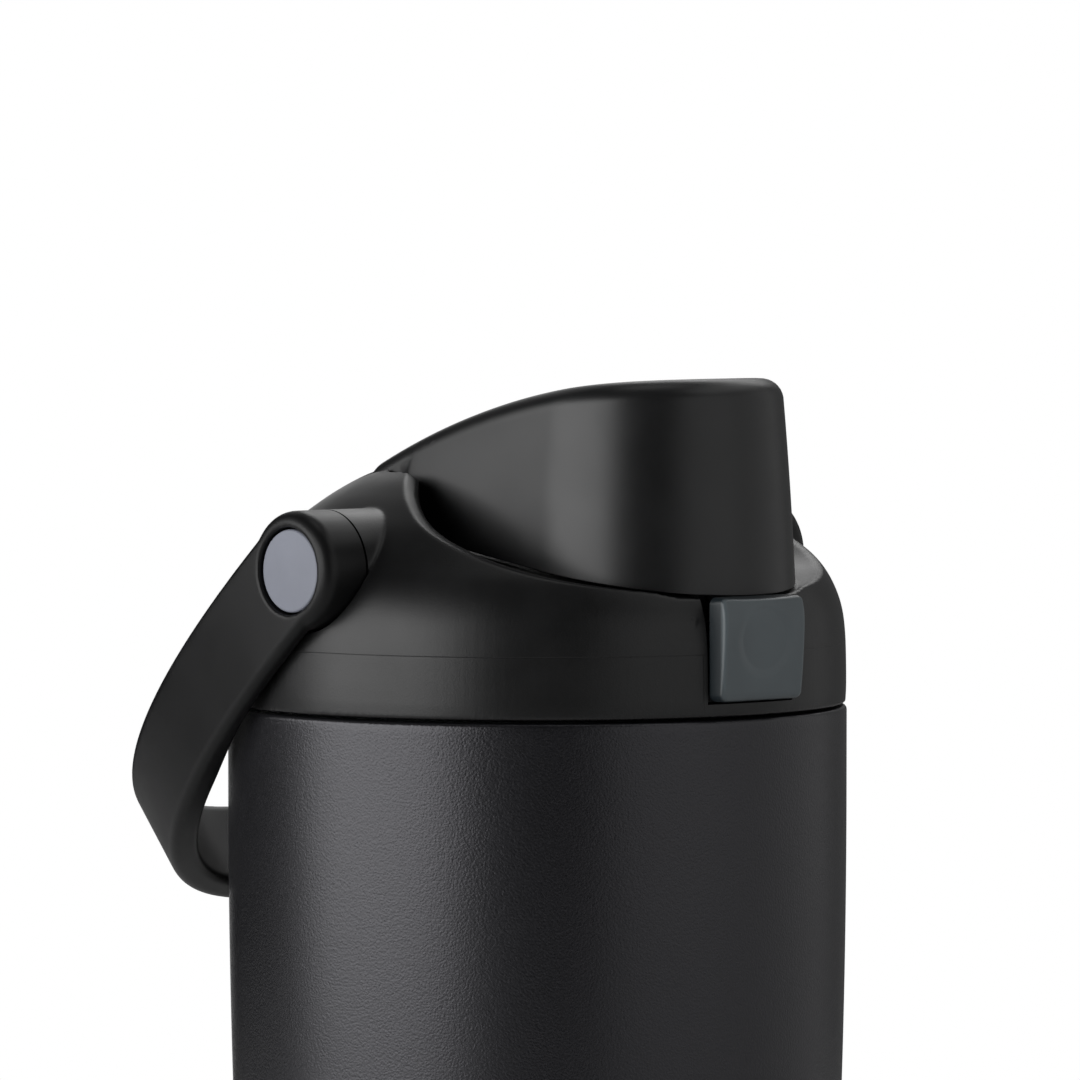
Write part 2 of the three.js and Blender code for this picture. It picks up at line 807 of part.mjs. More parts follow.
function capLiner() {
  const plate = cut(capForm(cap.wall + GAP, 0), capForm(cap.wall + GAP + 1.4, 2));
  const keep = box(-30, 30, -50, -8, 38, 60);
  const socket = cut(
    alongZ(ellipse(spout.y, 12, 9.5, 28), spout.topZ + GAP, 60),
    alongZ(ellipse(spout.y, 10.6, 8.1, 28), 0, 60),
  );
  return union(plate.intersect(keep), socket.intersect(capForm(cap.wall + GAP, 0)));
}

function capSeal() {
  return alongZ(ellipse(spout.y, 10.2, 7.7, 28), spout.topZ + GAP, spout.topZ + GAP + 1.5);
}

// ---------- button ----------

function pushButton() {
  const face = [
    [button.backY, button.bottom], [-49.5, button.bottom], [-49.9, 3.4], [-50.3, 8],
    [-50.6, 12], [-50.6, 14.6], [-50.3, 16.4], [-49.8, 17.4], [-49.2, button.top],
    [-48, 18], [button.backY, button.top],
  ];
  const form = alongX(face, -button.half, button.half);
  const seat = rodY(3.3, -48.8, -46, 0, 9);
  return cut(form, seat);
}

function latchSlider() {
  const outline = [
    [-46.7, 4.6], [-46.7, 16.2], [-43.2, 17], [-43.2, 21.5], [-43.9, 21.7],
    [-43.5, 23.4], [-41.8, 23.4], [-41.8, 15], [-45.3, 14], [-45.3, 4.6],
  ];
  return cut(alongX(outline, -4.8, 4.8), rodY(3.3, -48, -44, 0, 9));
}

// ---------- handle ----------

// One point of the strap's outer curve: t runs from a pivot (0) over the crossbar to the other.
function strapCurve(t) {
  const c = Math.cos(t);
  const s = Math.sin(t);
  const x = pivot.outerX * Math.sign(c) * Math.abs(c) ** handle.armPower;
  const reach = handle.length * Math.sign(s) * Math.abs(s) ** handle.reachPower;
  return new THREE.Vector2(x, reach + handle.bow * ((x / pivot.outerX) ** 2 - 1));
}

function strap() {
  const down = THREE.MathUtils.degToRad(handle.downDeg);
  const along = new THREE.Vector3(0, Math.cos(down), -Math.sin(down));
  const across = new THREE.Vector3(0, Math.sin(down), Math.cos(down));
  const steps = 32;
  const rings = [];
  for (let k = 0; k <= steps; k += 1) {
    const t = (Math.PI * (k + 0.0001)) / (steps + 0.0002);
    const here = strapCurve(t);
    const tangent = strapCurve(t + 1e-4).sub(strapCurve(t - 1e-4)).normalize();
    const inward = new THREE.Vector2(-tangent.y, tangent.x);
    const bar = Math.sin(t) ** 2;
    const swell = THREE.MathUtils.smoothstep(Math.sin(t), handle.thinTo, handle.fullFrom);
    const thick = THREE.MathUtils.lerp(handle.thickArm, handle.thickBar, swell);
    const half = THREE.MathUtils.lerp(handle.widthPivot, handle.widthBar, bar) / 2;
    const round = 1.2;
    const section = [
      [0, half - round], [round * 0.3, half - round * 0.3], [round, half],
      [thick - round, half], [thick, half - round], [thick, round - half],
      [thick - round, -half], [round, -half], [round * 0.3, round * 0.3 - half],
      [0, round - half],
    ];
    rings.push(section.map(([depth, w]) => {
      const p = here.clone().addScaledVector(inward, depth);
      return new THREE.Vector3(p.x, pivot.y, pivot.z)
        .addScaledVector(along, p.y)
        .addScaledVector(across, w);
    }));
  }
  return loft(rings);
}

function handlePiece() {
  const inner = pivot.jointX + GAP / 2;
  const bosses = [-1, 1].map((side) => {
    const span = sided(side, inner, pivot.outerX);
    return rodX(pivot.bossR, ...span, pivot.y, pivot.z, 40);
  });
  const bores = [-1, 1].flatMap((side) => [
    rodX(pivot.coverR + 0.35, ...sided(side, 46.9, 60), pivot.y, pivot.z, 32),
    rodX(pivot.bushR + GAP, ...sided(side, 40, 50), pivot.y, pivot.z, 24),
  ]);
  return cut(union(strap(), ...bosses), ...bores);
}

function pivotCover(side) {
  return rodX(pivot.coverR, ...sided(side, 49.1, pivot.outerX - 0.3), pivot.y, pivot.z, 32);
}

// ---------- assembly ----------

function mesh(name, part, look) {
  const { vertProperties, triVerts } = part.getMesh();
  const geometry = new THREE.BufferGeometry();
  geometry.setAttribute('position', new THREE.BufferAttribute(new Float32Array(vertProperties), 3));
  geometry.setIndex(new THREE.BufferAttribute(new Uint32Array(triVerts), 1));
  geometry.computeVertexNormals();
  const item = new THREE.Mesh(geometry, new THREE.MeshStandardMaterial(looks[look]));
  item.name = name;
  return item;
}

const bottle = new THREE.Group();
bottle.add(
  mesh('outer_shell', outerShell(), 'powderCoat'),
  mesh('inner_liner', innerLiner(), 'steel'),
  mesh('base_plate', basePlate(), 'powderCoat'),
  mesh('vacuum_seal', vacuumSeal(), 'steel'),
  mesh('getter', getter(), 'steel'),
);

const lid = new THREE.Group();
lid.position.z = SEAM_Z;
lid.add(
  mesh('lid_gasket', lidGasket(), 'silicone'),
  mesh('lid_shell', lidShell(), 'collar'),
  mesh('lid_plug', lidPlug(), 'inner'),
  mesh('vent_valve', ventValve(), 'silicone'),
  mesh('spout', spoutPiece(), 'silicone'),
  mesh('spout_seal', spoutSeal(), 'silicone'),
  mesh('straw', strawTube(), 'clear'),
  mesh('hinge_pin', hingePin(), 'steel'),
  mesh('hinge_spring', hingeSpring(), 'steel'),
  mesh('button_spring', buttonSpring(), 'steel'),
  mesh('cap_shell', capShell(), 'cap'),
  mesh('cap_liner', capLiner(), 'inner'),
  mesh('cap_seal', capSeal(), 'silicone'),
  mesh('push_button', pushButton(), 'button'),
  mesh('latch_slider', latchSlider(), 'inner'),
  mesh('handle', handlePiece(), 'handle'),
);
for (const [side, word] of [[-1, 'left'], [1, 'right']]) {
  lid.add(
    mesh(`pivot_screw_${word}`, pivotScrew(side), 'steel'),
    mesh(`pivot_bush_${word}`, pivotBush(side), 'silicone'),
    mesh(`pivot_cover_${word}`, pivotCover(side), 'disc'),
  );
}

const object = new THREE.Group();
object.add(bottle, lid);

export default object;
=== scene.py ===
import math

import bmesh
import bpy
import numpy as np
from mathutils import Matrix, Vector


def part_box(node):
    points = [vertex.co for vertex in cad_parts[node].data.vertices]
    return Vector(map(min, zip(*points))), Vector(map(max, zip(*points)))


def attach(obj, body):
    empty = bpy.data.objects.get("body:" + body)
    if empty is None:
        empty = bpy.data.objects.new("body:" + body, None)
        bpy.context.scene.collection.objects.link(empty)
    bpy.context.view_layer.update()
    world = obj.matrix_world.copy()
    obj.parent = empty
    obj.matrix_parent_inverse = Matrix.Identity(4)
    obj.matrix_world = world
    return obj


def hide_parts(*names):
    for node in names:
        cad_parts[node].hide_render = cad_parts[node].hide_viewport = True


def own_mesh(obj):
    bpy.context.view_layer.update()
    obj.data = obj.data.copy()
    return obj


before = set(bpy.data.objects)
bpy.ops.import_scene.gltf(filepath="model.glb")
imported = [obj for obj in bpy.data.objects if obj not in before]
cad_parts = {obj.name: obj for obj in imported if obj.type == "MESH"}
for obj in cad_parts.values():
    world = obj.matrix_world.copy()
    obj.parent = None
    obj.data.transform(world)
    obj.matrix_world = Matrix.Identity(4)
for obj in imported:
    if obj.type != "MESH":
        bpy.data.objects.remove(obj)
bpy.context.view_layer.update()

# Insulated flip-lid bottle. Shapes are worked out in millimetres, with lid heights
# measured from the seam where the lid's collar meets the body, as in the CAD model.

MM = 0.001


def low_mm(node):
    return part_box(node)[0] / MM


def high_mm(node):
    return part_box(node)[1] / MM


# ---------- driving dimensions, in millimetres ----------

SEAM_GAP = 0.2  # the body and the collar each stop this far from the seam
BODY_R = high_mm("outer_shell").x
SEAM = high_mm("outer_shell").z + SEAM_GAP
BODY_FOOT = low_mm("outer_shell").z
STRAIGHT = 14  # the body is a cylinder this far below the seam, then it tapers
TAPER_R = 1500
CORNER_R = 6
WALL = 0.9
LIP_R = 39.6  # the mouth that the lid screws into

CAP_R = high_mm("cap_shell").x
CAP_FRONT_Y = low_mm("cap_shell").y + CAP_R  # centre of the cap's round front
CAP_REAR_Y = 12
CAP_REAR_CORNER = 6
CAP_WALL = 2
CAP_EDGE = 3.6  # rounding where the cap's wall meets its top
CAP_GAP = 0.7  # between the cap and the collar round it
CREST_Y, CREST_Z = -47.3, 51.08  # where the cap's top is highest
CAP_TOP_R = 152
RIM_Z = low_mm("cap_shell").z - SEAM
RIM_SLOPE = 0.16
OPEN_DEG = 110

HINGE = Vector((0, 12.8, 34.8))
BARREL_R = 2.9
BARREL_IN, BARREL_HALF = 12.3, 20.6  # ends of each of the cap's two barrels
NOSE_R = 3.55  # the cap's skin over the barrel, where the cap's top meets it
PIN_R = 1.25
PIN_ROOM = 0.2
TURN_ROOM = 0.4  # round whatever turns in a room of its own
OPEN_ROOM = 4.1  # from the pin to the skin of the cap's top when it is open
HINGE_TILT = 19.5
KNUCKLE = (4.9, 11.9)

PIVOT = Vector((0, 0.5, 22))
BOSS_R = 9.1
BOSS_IN = 43.15
BOSS_OUT = high_mm("handle").x
STUB_END = 42.85

SPRING_Z = 9
SEAT_Y = -48.8  # bottom of the button's seat for its spring

SPOUT_Y = -27

FAR = 60  # a cutting shape that ends here ends outside the lid
ROUND = 192  # sides of the large turned pieces
FINE = 0.3  # grid of the remeshed moulded pieces


# ---------- mesh helpers ----------

def new_object(name, verts, faces):
    """A mesh object from points in millimetres above the seam."""
    points = np.array(verts, float) + (0, 0, SEAM)
    mesh = bpy.data.meshes.new(name)
    mesh.from_pydata((points * MM).tolist(), [], faces)
    item = bpy.data.objects.new(name, mesh)
    bpy.context.scene.collection.objects.link(item)
    tidy(item)
    return item


def tidy(item):
    """Welds doubles and points all faces out."""
    work = bmesh.new()
    work.from_mesh(item.data)
    bmesh.ops.remove_doubles(work, verts=work.verts, dist=1e-7)
    bmesh.ops.dissolve_degenerate(work, edges=work.edges, dist=1e-8)
    bmesh.ops.recalc_face_normals(work, faces=work.faces)
    work.to_mesh(item.data)
    work.free()


def bake(item):
    """Turns the item's modifiers into its mesh."""
    graph = bpy.context.evaluated_depsgraph_get()
    mesh = bpy.data.meshes.new_from_object(item.evaluated_get(graph))
    old = item.data
    item.modifiers.clear()
    item.data = mesh
    bpy.data.meshes.remove(old)
    return item


def boolean(base, operation, tools):
    for tool in tools:
        step = base.modifiers.new("boolean", "BOOLEAN")
        step.operation = operation
        step.solver = "EXACT"
        step.object = tool
    bake(base)
    for tool in tools:
        bpy.data.objects.remove(tool)
    return base


def cut(base, *tools):
    return boolean(base, "DIFFERENCE", tools)


def join(base, *tools):
    return boolean(base, "UNION", tools)


def moulded(item, smooth=6, keep=0.35):
    """Rounds every edge a little, as a mould does: an even grid of faces, smoothed."""
    step = item.modifiers.new("grid", "REMESH")
    step.mode = "VOXEL"
    step.voxel_size = FINE * MM
    step = item.modifiers.new("soft", "SMOOTH")
    step.factor = 0.5
    step.iterations = smooth
    step = item.modifiers.new("fewer", "DECIMATE")
    step.ratio = keep
    return bake(item)


def shade(item, angle=None):
    """Smooth shading, with creases above angle where one is given."""
    mesh = item.data
    mesh.polygons.foreach_set("use_smooth", [True] * len(mesh.polygons))
    if angle is not None:
        mesh.set_sharp_from_angle(angle=math.radians(angle))
    mesh.update()


def lathe(name, profile, sides=ROUND):
    """A turned solid from an open [radius, height] profile that starts and ends on the axis."""
    verts, faces, rows = [], [], []
    for r, z in profile:
        if r < 1e-6:
            rows.append([len(verts)] * sides)
            verts.append((0, 0, z))
            continue
        rows.append(list(range(len(verts), len(verts) + sides)))
        for i in range(sides):
            turn = 2 * math.pi * i / sides
            verts.append((r * math.cos(turn), r * math.sin(turn), z))
    for a, b in zip(rows, rows[1:]):
        for i in range(sides):
            k = (i + 1) % sides
            face = list(dict.fromkeys([a[i], a[k], b[k], b[i]]))
            if len(face) > 2:
                faces.append(face)
    return new_object(name, verts, faces)


def ring(name, profile, sides=ROUND):
    """A turned solid from a closed [radius, height] section."""
    count = len(profile)
    verts = [
        (r * math.cos(2 * math.pi * i / sides), r * math.sin(2 * math.pi * i / sides), z)
        for i in range(sides)
        for r, z in profile
    ]
    faces = []
    for i in range(sides):
        k = (i + 1) % sides
        for j in range(count):
            m = (j + 1) % count
            faces.append([i * count + j, k * count + j, k * count + m, i * count + m])
    return new_object(name, verts, faces)


def loft(name, rings, closed=False):
    """Rings of as many points each, joined into a skin: capped, or closed on itself."""
    count = len(rings[0])
    verts = [p for r in rings for p in r]
    faces = []
    for k in range(len(rings) if closed else len(rings) - 1):
        n = (k + 1) % len(rings)
        for i in range(count):
            j = (i + 1) % count
            faces.append([k * count + i, k * count + j, n * count + j, n * count + i])
    if not closed:
        faces.append(list(range(count))[::-1])
        faces.append([(len(rings) - 1) * count + i for i in range(count)])
    return new_object(name, verts, faces)


def rounded(corners, steps=6):
    """A closed outline from (u, v, radius) corners, each turned into an arc."""
    points = []
    count = len(corners)
    for i, (u, v, radius) in enumerate(corners):
        here = Vector((u, v))
        before = Vector(corners[i - 1][:2]) - here
        after = Vector(corners[(i + 1) % count][:2]) - here
        if radius <= 0:
            points.append(tuple(here))
            continue
        half = before.angle(after) / 2
        reach = min(radius / math.tan(half), 0.49 * before.length, 0.49 * after.length)
        radius = reach * math.tan(half)
        inward = (before.normalized() + after.normalized()).normalized()
        middle = here + inward * radius / math.sin(half)
        start = here + before.normalized() * reach - middle
        end = here + after.normalized() * reach - middle
        turn = start.angle_signed(end)
        for k in range(steps + 1):
            a = -turn * k / steps
            points.append((
                middle.x + start.x * math.cos(a) - start.y * math.sin(a),
                middle.y + start.x * math.sin(a) + start.y * math.cos(a),
            ))
    return points


def along_x(name, outline, x0, x1):
    """A (y, z) outline extruded from x0 to x1."""
    return loft(name, [[(x, y, z) for y, z in outline] for x in (x0, x1)])


def along_z(name, outline, z0, z1):
    """An (x, y) outline extruded from z0 to z1."""
    return loft(name, [[(x, y, z) for x, y in outline] for z in (z0, z1)])


def box(name, x0, x1, y0, y1, z0, z1):
    return along_z(name, [(x0, y0), (x1, y0), (x1, y1), (x0, y1)], z0, z1)


def circle(u, v, radius, sides=96):
    turns = [2 * math.pi * i / sides for i in range(sides)]
    return [(u + radius * math.cos(t), v + radius * math.sin(t)) for t in turns]


def ellipse(y, half_x, half_y, sides=96):
    return [(half_x * u, y + half_y * v) for u, v in circle(0, 0, 1, sides)]


def rod_x(name, radius, x0, x1, middle, edge=0.0, sides=96):
    """A round bar along X about a middle line, its end edges rounded where edge is given."""
    levels = [(x0, 0), (x1, 0)]
    if edge:
        arc = [math.radians(a) for a in range(0, 91, 15)]
        near = [(x0 + edge * (1 - math.sin(a)), edge * (1 - math.cos(a))) for a in reversed(arc)]
        far = [(x1 - edge * (1 - math.sin(a)), edge * (1 - math.cos(a))) for a in arc]
        levels = near + far
    return loft(name, [
        [(x, u, v) for u, v in circle(middle.y, middle.z, radius - inset, sides)]
        for x, inset in levels
    ])


def spans(side, near, far):
    """The two x values of something near to far from the middle, on one side."""
    return sorted((side * near, side * far))


def smooth_line(points, steps=12):
    """A smooth curve through points (centripetal Catmull-Rom)."""
    knots = [Vector(p) for p in points]
    knots = [2 * knots[0] - knots[1], *knots, 2 * knots[-1] - knots[-2]]
    line = []
    for a, b, c, d in zip(knots, knots[1:], knots[2:], knots[3:]):
        t0 = 0.0
        t1 = t0 + max((b - a).length, 1e-6) ** 0.5
        t2 = t1 + max((c - b).length, 1e-6) ** 0.5
        t3 = t2 + max((d - c).length, 1e-6) ** 0.5
        for k in range(steps):
            t = t1 + (t2 - t1) * k / steps
            p = a * ((t1 - t) / (t1 - t0)) + b * ((t - t0) / (t1 - t0))
            q = b * ((t2 - t) / (t2 - t1)) + c * ((t - t1) / (t2 - t1))
            r = c * ((t3 - t) / (t3 - t2)) + d * ((t - t2) / (t3 - t2))
            pq = p * ((t2 - t) / (t2 - t0)) + q * ((t - t0) / (t2 - t0))
            qr = q * ((t3 - t) / (t3 - t1)) + r * ((t - t1) / (t3 - t1))
            line.append(pq * ((t2 - t) / (t2 - t1)) + qr * ((t - t1) / (t2 - t1)))
    line.append(knots[-2])
    return [tuple(p) for p in line]


# ---------- outlines that several pieces share ----------

# The collar and the dome over it, as radius and height, up to the crown.
DOME = smooth_line([
    (47.9, SEAM_GAP), (47.9, 6), (47.7, 11.5), (47.2, 15), (46.2, 18), (44.8, 20.6), (43, 22.9),
    (41, 25.1), (38, 28), (35, 30.3), (31, 33), (26, 35.6), (20, 37.4), (12, 38.7), (0, 39.3),
], 8)
DOME_R = np.array([p[0] for p in DOME])[::-1]
DOME_Z = np.array([p[1] for p in DOME])[::-1]

# The saddle's edge seen from the side, as y and height, from the button to the shoulders.
SADDLE = smooth_line([
    (-54, 16.9), (-47.3, 18.1), (-43.7, 18.95), (-31.5, 21.8), (-18, 26.3),
    (-10.3, 29.5), (-4.6, 32.4), (0.5, 35), (4.2, 36.6),
], 10)
SADDLE_Y = np.array([p[0] for p in SADDLE])
SADDLE_Z = np.array([p[1] for p in SADDLE])


def dome_height(r):
    return np.interp(r, DOME_R, DOME_Z)


def saddle_height(y):
    return np.interp(y, SADDLE_Y, SADDLE_Z)


def saddle_edge(y):
    """Half width of the saddle's outer edge at y, where the dome meets the cut."""
    near, far = 0.0, float(BODY_R)
    for _ in range(30):
        middle = (near + far) / 2
        if dome_height(math.hypot(middle, y)) > saddle_height(y):
            near = middle
        else:
            far = middle
    return near


def rim_height(y):
    """The cap's lower rim climbs towards the hinge."""
    return RIM_Z + RIM_SLOPE * (y - CAP_FRONT_Y + CAP_R)


def cap_top(y):
    """The cap's top along its middle, falling away towards the hinge."""
    reach = min(max(y - CREST_Y, 0), CAP_TOP_R)
    return CREST_Z - CAP_TOP_R + math.sqrt(CAP_TOP_R ** 2 - reach ** 2)


def cap_plan(inset, rear_y=CAP_REAR_Y, front=64, corner_steps=10):
    """The cap's plan moved in by inset: round front, straight sides, round rear corners."""
    r = CAP_R - inset
    corner = max(CAP_REAR_CORNER - inset, 0.4)
    rear = rear_y - inset
    points = []
    for i in range(front + 1):
        turn = math.pi * (1 + i / front)
        points.append((r * math.cos(turn), CAP_FRONT_Y + r * math.sin(turn)))
    side = np.linspace(CAP_FRONT_Y, rear - corner, 26)[1:-1]
    points += [(r, float(y)) for y in side]
    for start, x in ((0, r - corner), (math.pi / 2, corner - r)):
        for i in range(corner_steps + 1):
            turn = start + (math.pi / 2) * i / corner_steps
            points.append((x + corner * math.cos(turn), rear - corner + corner * math.sin(turn)))
    points += [(-r, float(y)) for y in side[::-1]]
    return points


def cap_lean(share):
    """How far the wall has leaned in at a share of its height."""
    return 1.25 * share + 0.55 * share ** 2


def cap_skin(skin, bottom, rim_round=0.0, rear_y=CAP_REAR_Y):
    """Rings of the cap's outside moved in by skin, from height bottom(y) up and over."""
    edge = max(CAP_EDGE - skin, 1.0)
    rings = []
    if rim_round:
        for turn in range(0, 90, 22):
            a = math.radians(turn)
            inset = rim_round * (1 - math.sin(a))
            lift = rim_round * (1 - math.cos(a))
            rings.append([(x, y, bottom(y) + lift) for x, y in cap_plan(skin + inset, rear_y)])

    def wall(y, share):
        low = bottom(y) + rim_round
        return low + (cap_top(y) - skin - edge - bottom(y) - rim_round) * share

    for share in np.linspace(0, 1, 9):
        plan = cap_plan(skin + cap_lean(share), rear_y)
        rings.append([(x, y, wall(y, share)) for x, y in plan])
    flat = skin + cap_lean(1) + edge
    for turn in range(10, 91, 10):
        a = math.radians(turn)
        plan = cap_plan(skin + cap_lean(1) + edge * (1 - math.cos(a)), rear_y)
        rings.append([(x, y, cap_top(y) - skin - edge * (1 - math.sin(a))) for x, y in plan])
    for inset in np.linspace(flat, CAP_R - 0.6, 8)[1:]:
        rings.append([(x, y, cap_top(y) - skin) for x, y in cap_plan(inset, rear_y)])
    return rings


def body_radius(z):
    """Radius of the body's outside at z above the seam."""
    below = max(0.0, -STRAIGHT - z)
    return BODY_R - below ** 2 / (2 * TAPER_R)


# ---------- materials ----------

def nodes_of(name):
    material = bpy.data.materials.new(name)
    material.use_nodes = True
    tree = material.node_tree
    return material, tree, tree.nodes["Principled BSDF"]


def place(tree):
    return tree.nodes.new("ShaderNodeTexCoord").outputs["Object"]


def along_axes(tree):
    """The place's x, y and z, each as its own socket."""
    split = tree.nodes.new("ShaderNodeSeparateXYZ")
    tree.links.new(place(tree), split.inputs[0])
    return split.outputs


def noise(tree, scale_mm, detail=2.0, rough=0.5, stretch=None):
    """Noise whose grain is about scale_mm across."""
    coords = place(tree)
    if stretch:
        mapping = tree.nodes.new("ShaderNodeMapping")
        mapping.inputs["Scale"].default_value = stretch
        tree.links.new(coords, mapping.inputs["Vector"])
        coords = mapping.outputs["Vector"]
    node = tree.nodes.new("ShaderNodeTexNoise")
    node.inputs["Scale"].default_value = 1 / (scale_mm * MM)
    node.inputs["Detail"].default_value = detail
    node.inputs["Roughness"].default_value = rough
    tree.links.new(coords, node.inputs["Vector"])
    return node.outputs["Fac"]


def arith(tree, operation, *values):
    """A Math node on sockets and plain numbers."""
    node = tree.nodes.new("ShaderNodeMath")
    node.operation = operation
    for socket, value in zip(node.inputs, values):
        if isinstance(value, float):
            socket.default_value = value
        else:
            tree.links.new(value, socket)
    return node.outputs[0]


def span(tree, value, low, high, to_low, to_high):
    node = tree.nodes.new("ShaderNodeMapRange")
    keys = ("From Min", "From Max", "To Min", "To Max")
    for key, number in zip(keys, (low, high, to_low, to_high)):
        node.inputs[key].default_value = number
    tree.links.new(value, node.inputs["Value"])
    return node.outputs["Result"]


def bump(tree, height, depth_mm, before=None):
    node = tree.nodes.new("ShaderNodeBump")
    node.inputs["Strength"].default_value = 1.0
    node.inputs["Distance"].default_value = depth_mm * MM
    tree.links.new(height, node.inputs["Height"])
    if before is not None:
        tree.links.new(before, node.inputs["Normal"])
    return node.outputs["Normal"]


def tinted(tree, factor, dark, light):
    node = tree.nodes.new("ShaderNodeMix")
    node.data_type = "RGBA"
    node.inputs[6].default_value = (*dark, 1)
    node.inputs[7].default_value = (*light, 1)
    tree.links.new(factor, node.inputs["Factor"])
    return node.outputs[2]


def patchy(tree, slow, colour, patch):
    """A colour that drifts darker and lighter by the share patch."""
    dark = tuple(c * (1 - patch) for c in colour)
    light = tuple(c * (1 + patch) for c in colour)
    return tinted(tree, span(tree, slow, 0.35, 0.65, 0, 1), dark, light)


def plastic(name, colour, roughness, grain_mm, depth_mm, patch=0.12, specular=0.5):
    """Moulded plastic: a fine spark-eroded grain, and slow changes of tone and gloss."""
    material, tree, shader = nodes_of(name)
    shader.inputs["Specular IOR Level"].default_value = specular
    slow = noise(tree, 9.0, 3.0)
    grain = noise(tree, grain_mm, 2.0)
    gloss = span(tree, slow, 0.3, 0.7, roughness - 0.03, roughness + 0.03)
    tree.links.new(patchy(tree, slow, colour, patch), shader.inputs["Base Color"])
    tree.links.new(gloss, shader.inputs["Roughness"])
    tree.links.new(bump(tree, grain, depth_mm), shader.inputs["Normal"])
    return material


def line_at(tree, coordinate, at_mm, half_mm):
    """1 on a thin line where the coordinate is at_mm, and 0 elsewhere."""
    away = arith(tree, "ABSOLUTE", arith(tree, "SUBTRACT", coordinate, at_mm * MM))
    return span(tree, away, 0, half_mm * MM, 1, 0)


def collar_plastic():
    """Finely textured black plastic with the mould's faint parting lines."""
    level_z = SEAM + 9.7  # a line round the collar
    upright_x = 9.6  # and one on each side of the button, up to it
    groove = 0.03
    colour = (0.0060, 0.0061, 0.0064)
    material = plastic("collar_plastic", colour, 0.38, 0.30, 0.014, specular=0.42)
    tree = material.node_tree
    shader = tree.nodes["Principled BSDF"]
    x, _, z = along_axes(tree)
    level = line_at(tree, z, level_z, 0.09)
    upright = line_at(tree, arith(tree, "ABSOLUTE", x), upright_x, 0.07)
    below = span(tree, z, (level_z - 0.1) * MM, level_z * MM, 1, 0)
    both = arith(tree, "MAXIMUM", level, arith(tree, "MULTIPLY", upright, below))
    grain = shader.inputs["Normal"].links[0].from_socket
    sunk = bump(tree, span(tree, both, 0, 1, 1, 0), groove, grain)
    tree.links.new(sunk, shader.inputs["Normal"])
    return material


def button_plastic():
    """Pale grey pad face, with painted shade on its sides that darkens them towards the collar."""
    # The second colour is painted shade for the pad's sides, not a second plastic.
    colour, side_shade_colour = (0.100, 0.121, 0.131), (0.012, 0.018, 0.022)
    shade_from, shade_full_at = 0.7, 1.35  # millimetres behind the pad's front
    material = plastic("button_plastic", colour, 0.40, 0.20, 0.003, patch=0.05)
    tree = material.node_tree
    shader = tree.nodes["Principled BSDF"]
    front = low_mm("push_button").y
    y = along_axes(tree)["Y"]
    # Painted shade: the sides fade from the face colour to the dark side colour with depth behind
    # the front, standing in for the shade in the gap round the pad.
    depth = span(tree, y, (front + shade_from) * MM, (front + shade_full_at) * MM, 0, 1)
    face = shader.inputs["Base Color"].links[0].from_socket
    tone = tinted(tree, depth, colour, side_shade_colour)
    tree.links.new(face, tone.node.inputs[6])
    tree.links.new(tone, shader.inputs["Base Color"])
    return material


def powder_coat():
    """Black powder coat: a pebbled skin whose gloss varies a little."""
    pebble_mm, fine_mm, depth_mm = 0.36, 0.28, 0.027
    material, tree, shader = nodes_of("powder_coat")
    shader.inputs["Specular IOR Level"].default_value = 0.62
    shader.inputs["Specular Tint"].default_value = (0.95, 0.94, 1.0, 1)
    pebbles = tree.nodes.new("ShaderNodeTexVoronoi")
    pebbles.feature = "SMOOTH_F1"
    pebbles.inputs["Scale"].default_value = 1 / (pebble_mm * MM)
    pebbles.inputs["Smoothness"].default_value = 0.8
    tree.links.new(place(tree), pebbles.inputs["Vector"])
    fine = noise(tree, fine_mm, 2.0)
    height = arith(tree, "SUBTRACT", fine, pebbles.outputs["Distance"])
    slow = noise(tree, 14.0, 2.0)
    colour = patchy(tree, slow, (0.0062, 0.0062, 0.0074), 0.08)
    tree.links.new(colour, shader.inputs["Base Color"])
    tree.links.new(span(tree, fine, 0.3, 0.7, 0.29, 0.37), shader.inputs["Roughness"])
    tree.links.new(bump(tree, height, depth_mm), shader.inputs["Normal"])
    return material


def steel(name, roughness=0.3):
    """Turned stainless steel, brushed around its axis."""
    material, tree, shader = nodes_of(name)
    shader.inputs["Metallic"].default_value = 1.0
    streaks = noise(tree, 1.0, 4.0, 0.6, stretch=(0.15, 0.15, 3.0))
    colour = tinted(tree, streaks, (0.50, 0.51, 0.52), (0.68, 0.69, 0.70))
    gloss = span(tree, streaks, 0.3, 0.7, roughness - 0.06, roughness + 0.08)
    tree.links.new(colour, shader.inputs["Base Color"])
    tree.links.new(gloss, shader.inputs["Roughness"])
    tree.links.new(bump(tree, streaks, 0.004), shader.inputs["Normal"])
    return material


def silicone():
    """Soft matte silicone with a velvety sheen."""
    material, tree, shader = nodes_of("silicone")
    shader.inputs["Sheen Weight"].default_value = 0.25
    shader.inputs["Sheen Roughness"].default_value = 0.4
    slow = noise(tree, 5.0, 3.0)
    dust = noise(tree, 0.5, 2.0)
    colour = tinted(tree, slow, (0.125, 0.142, 0.150), (0.165, 0.185, 0.195))
    tree.links.new(colour, shader.inputs["Base Color"])
    tree.links.new(span(tree, dust, 0.3, 0.7, 0.55, 0.68), shader.inputs["Roughness"])
    tree.links.new(bump(tree, dust, 0.008), shader.inputs["Normal"])
    return material


